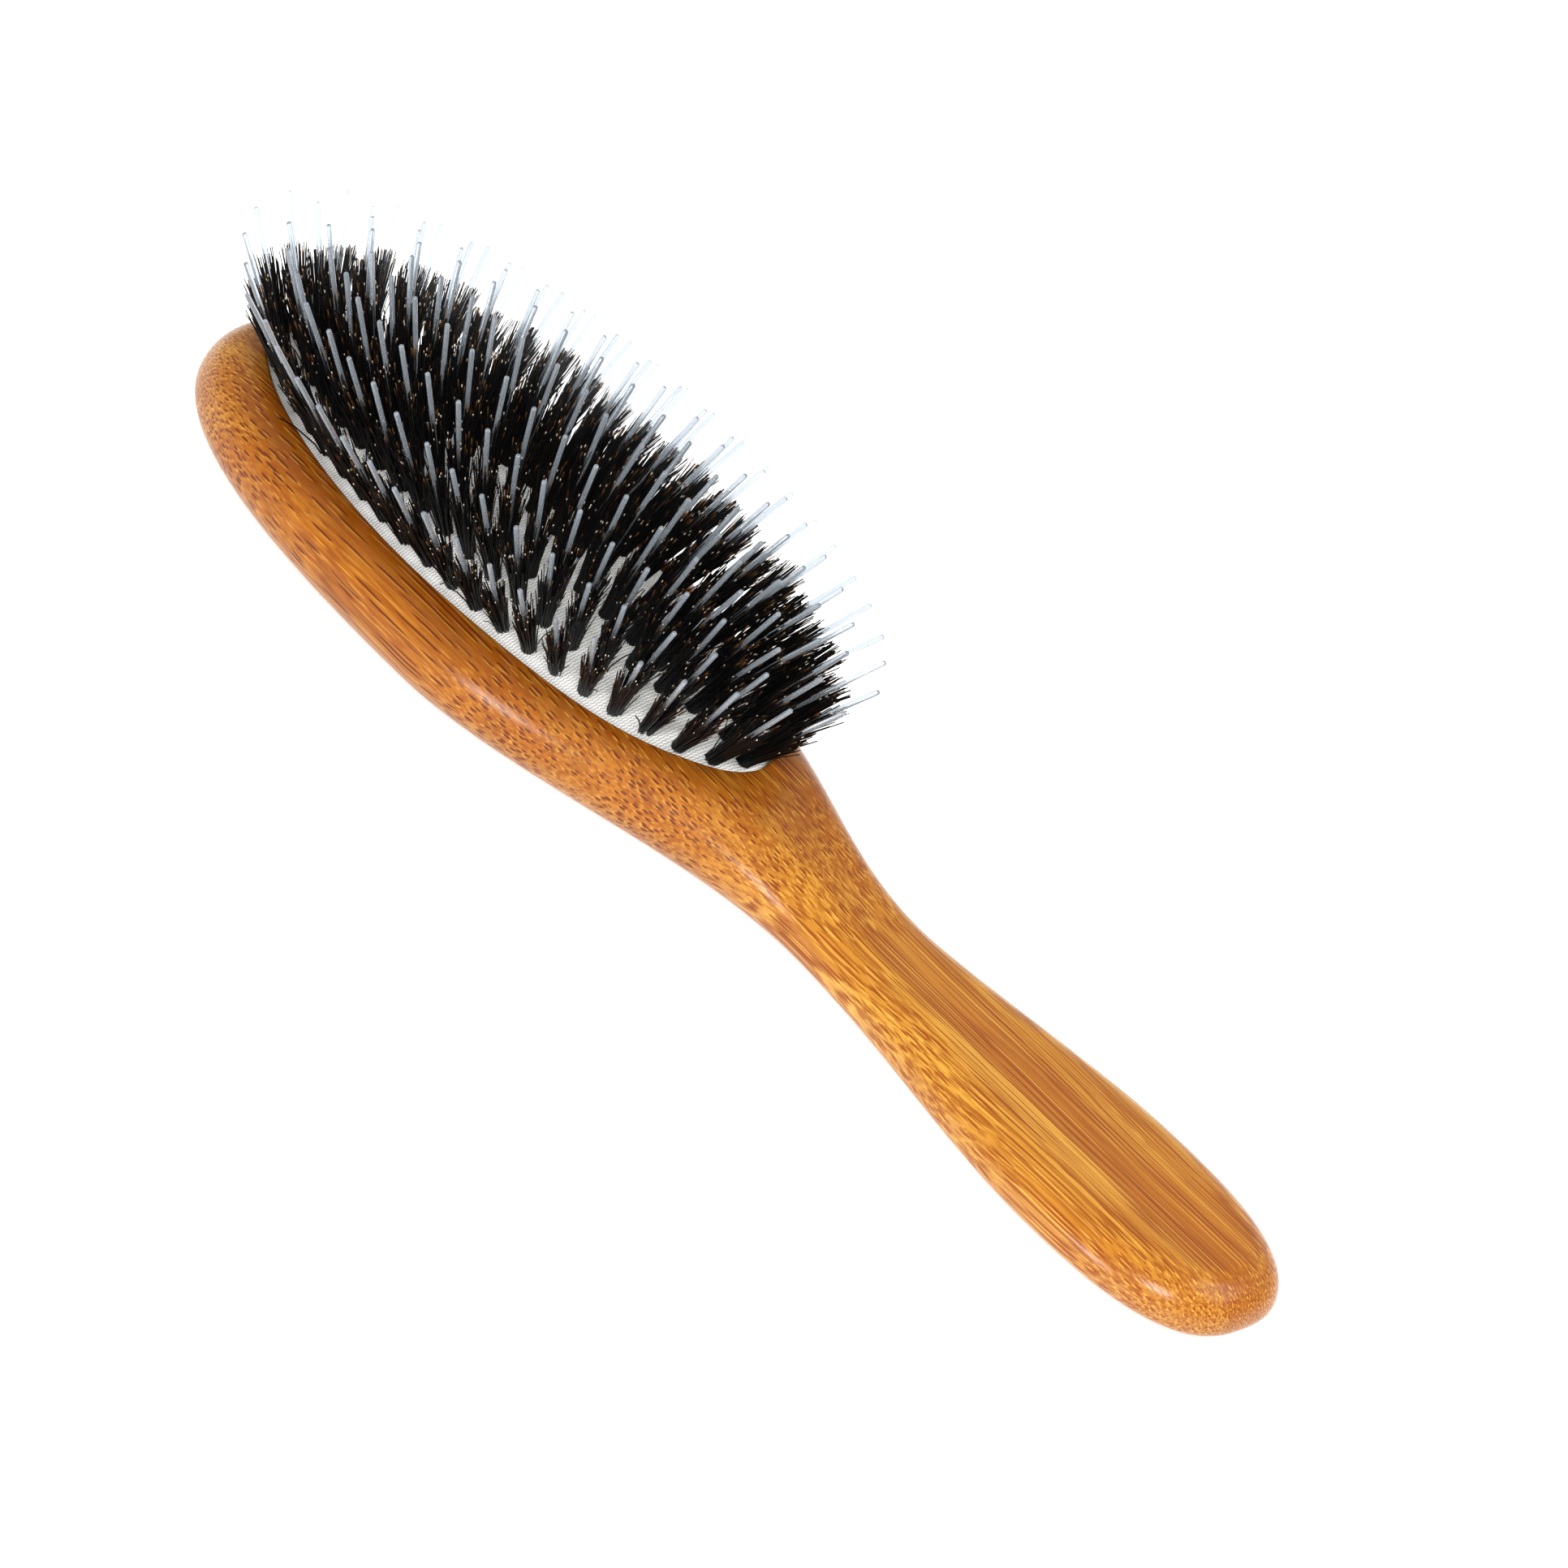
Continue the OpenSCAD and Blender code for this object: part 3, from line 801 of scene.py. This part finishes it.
def anchor_material():
    """Grey moulded plastic."""
    m = Nodes("anchor_plastic")
    place = m.place_mm()[0]
    grain = m.noise(place, 3.0, 3.0)
    m.set(
        base_color=m.mix(grain, rgb(0.42, 0.42, 0.40), rgb(0.50, 0.50, 0.47)),
        roughness=m.step(grain, 0.3, 0.7, 0.45, 0.6),
    )
    return m.material


# ---- Camera, floor and light ----
CAMERA_AZ, CAMERA_EL, CAMERA_ROLL = 32.18, 32.29, 25.07
CAMERA_FAR, CAMERA_LENS = 1.130, 179.64
LOOK_X, LOOK_Y = 120.3, 2.0
FLOOR_REACH, FLOOR_LEVEL = 12.0, -0.2 * MM
LIGHT_TARGET = (0, 0, 0.02)


def make_camera():
    az, el, tilt = radians(CAMERA_AZ), radians(CAMERA_EL), radians(CAMERA_ROLL)
    back = Vector((sin(az) * cos(el), -cos(az) * cos(el), sin(el)))
    right = Vector((cos(az), sin(az), 0))
    up = back.cross(right)
    turned_right = cos(tilt) * right + sin(tilt) * up
    turned_up = -sin(tilt) * right + cos(tilt) * up
    look = Vector(((HEAD_TIP + LOOK_X) * MM, LOOK_Y * MM, HEAD_T * MM))
    data = bpy.data.cameras.new("camera")
    data.lens = CAMERA_LENS
    data.sensor_width = 36
    camera = bpy.data.objects.new("camera", data)
    bpy.context.scene.collection.objects.link(camera)
    turn = Matrix((turned_right, turned_up, back)).transposed().to_4x4()
    camera.matrix_world = Matrix.Translation(look + back * CAMERA_FAR) @ turn
    bpy.context.scene.camera = camera


def area_light(name, place, target, size, power):
    """Round lamp of a size in metres and a power in watts, turned to its target."""
    data = bpy.data.lights.new(name, "AREA")
    data.shape = "DISK"
    data.size = size
    data.energy = power
    light = bpy.data.objects.new(name, data)
    bpy.context.scene.collection.objects.link(light)
    light.location = place
    light.rotation_euler = (Vector(target) - Vector(place)).to_track_quat("-Z", "Y").to_euler()


def make_stage():
    mesh = bpy.data.meshes.new("floor")
    corners = [(-1, -1), (1, -1), (1, 1), (-1, 1)]
    points = [(u * FLOOR_REACH, v * FLOOR_REACH, FLOOR_LEVEL) for u, v in corners]
    mesh.from_pydata(points, [], [(0, 1, 2, 3)])
    floor = bpy.data.objects.new("floor", mesh)
    bpy.context.scene.collection.objects.link(floor)
    m = Nodes("floor")
    place = m.place_mm()[0]
    grain = m.noise(place, 0.02, 2.0)
    # Clear from below, so that the back can be looked at
    underside = m.node("NewGeometry").outputs["Backfacing"]
    m.set(
        base_color=m.mix(grain, rgb(0.86, 0.86, 0.86), rgb(0.88, 0.88, 0.88)),
        roughness=0.9,
        alpha=m.math("SUBTRACT", 1.0, underside),
        emission_color=rgb(1, 1, 1),
        emission_strength=0.6,
    )
    mesh.materials.append(m.material)
    world = bpy.data.worlds.new("world")
    world.use_nodes = True
    background = world.node_tree.nodes["Background"]
    background.inputs[0].default_value = (1, 1, 1, 1)
    background.inputs[1].default_value = 0.7
    bpy.context.scene.world = world
    area_light("key", (0.45, 0.35, 0.75), (-0.03, 0, 0.02), 0.7, 4.6)
    area_light("front", (-0.05, -0.93, 0.16), LIGHT_TARGET, 0.22, 3.2)
    area_light("over", (0.42, -0.67, 0.64), LIGHT_TARGET, 0.3, 7.2)
    bpy.context.scene.view_settings.view_transform = "Standard"
    bpy.context.scene.view_settings.look = "None"


# ---- Build ----
make_camera()
make_stage()

wood = bamboo_material()
body = make_object("bamboo_brush_body", *body_mesh(), "handle", "bamboo", wood, sharp_deg=50)
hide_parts("bamboo_body")


def cushion_layer(name, node, slot, material, depths, insets):
    """Layer between two depths below the cushion's face, in place of a CAD node."""
    layer = make_object(name, *layer_mesh(*depths, *insets), "handle", slot, material, sharp_deg=50)
    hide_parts(node)
    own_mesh(layer)
    return layer


facing = cushion_layer(
    "woven_facing", "cushion_fabric", "woven_facing", fabric_material(),
    (0.0, FABRIC_T), (GLUE_GAP, FABRIC_T + GLUE_GAP),
)
membrane_top = FABRIC_T + GLUE_GAP
membrane = cushion_layer(
    "rubber_membrane", "cushion_rubber", "membrane_rubber", rubber_material(),
    (membrane_top, membrane_top + RUBBER_T), (membrane_top + GLUE_GAP, LEDGE_W),
)


def add_strands(name, node, strands, sides, carrier, slot, material):
    """Set of strands in place of a CAD node."""
    points, faces, tones, heights = strand_mesh(strands, sides)
    obj = make_object(name, points, faces, carrier, slot, material, sharp_deg=70)
    set_uv(obj, tones, heights)
    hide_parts(node)


rng = np.random.default_rng(RNG_SEED)
bristle, nylon, anchor = bristle_material(), nylon_material(), anchor_material()
for zone in range(1, ZONES + 1):
    places = TUFTS[TUFT_ZONE == zone]
    carrier = f"tuft_zone_{zone}"
    add_strands(
        f"boar_bristles_zone_{zone}", f"boar_tufts_zone_{zone}",
        bristles(rng, places), BRISTLE_SIDES, carrier, "boar_bristle", bristle,
    )
    add_strands(
        f"nylon_pins_zone_{zone}_rounded", f"nylon_pins_zone_{zone}",
        pins(rng, places), PIN_SIDES, carrier, "clear_nylon", nylon,
    )
    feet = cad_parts[f"tuft_anchors_zone_{zone}"]
    feet.data.materials.clear()
    feet.data.materials.append(anchor)
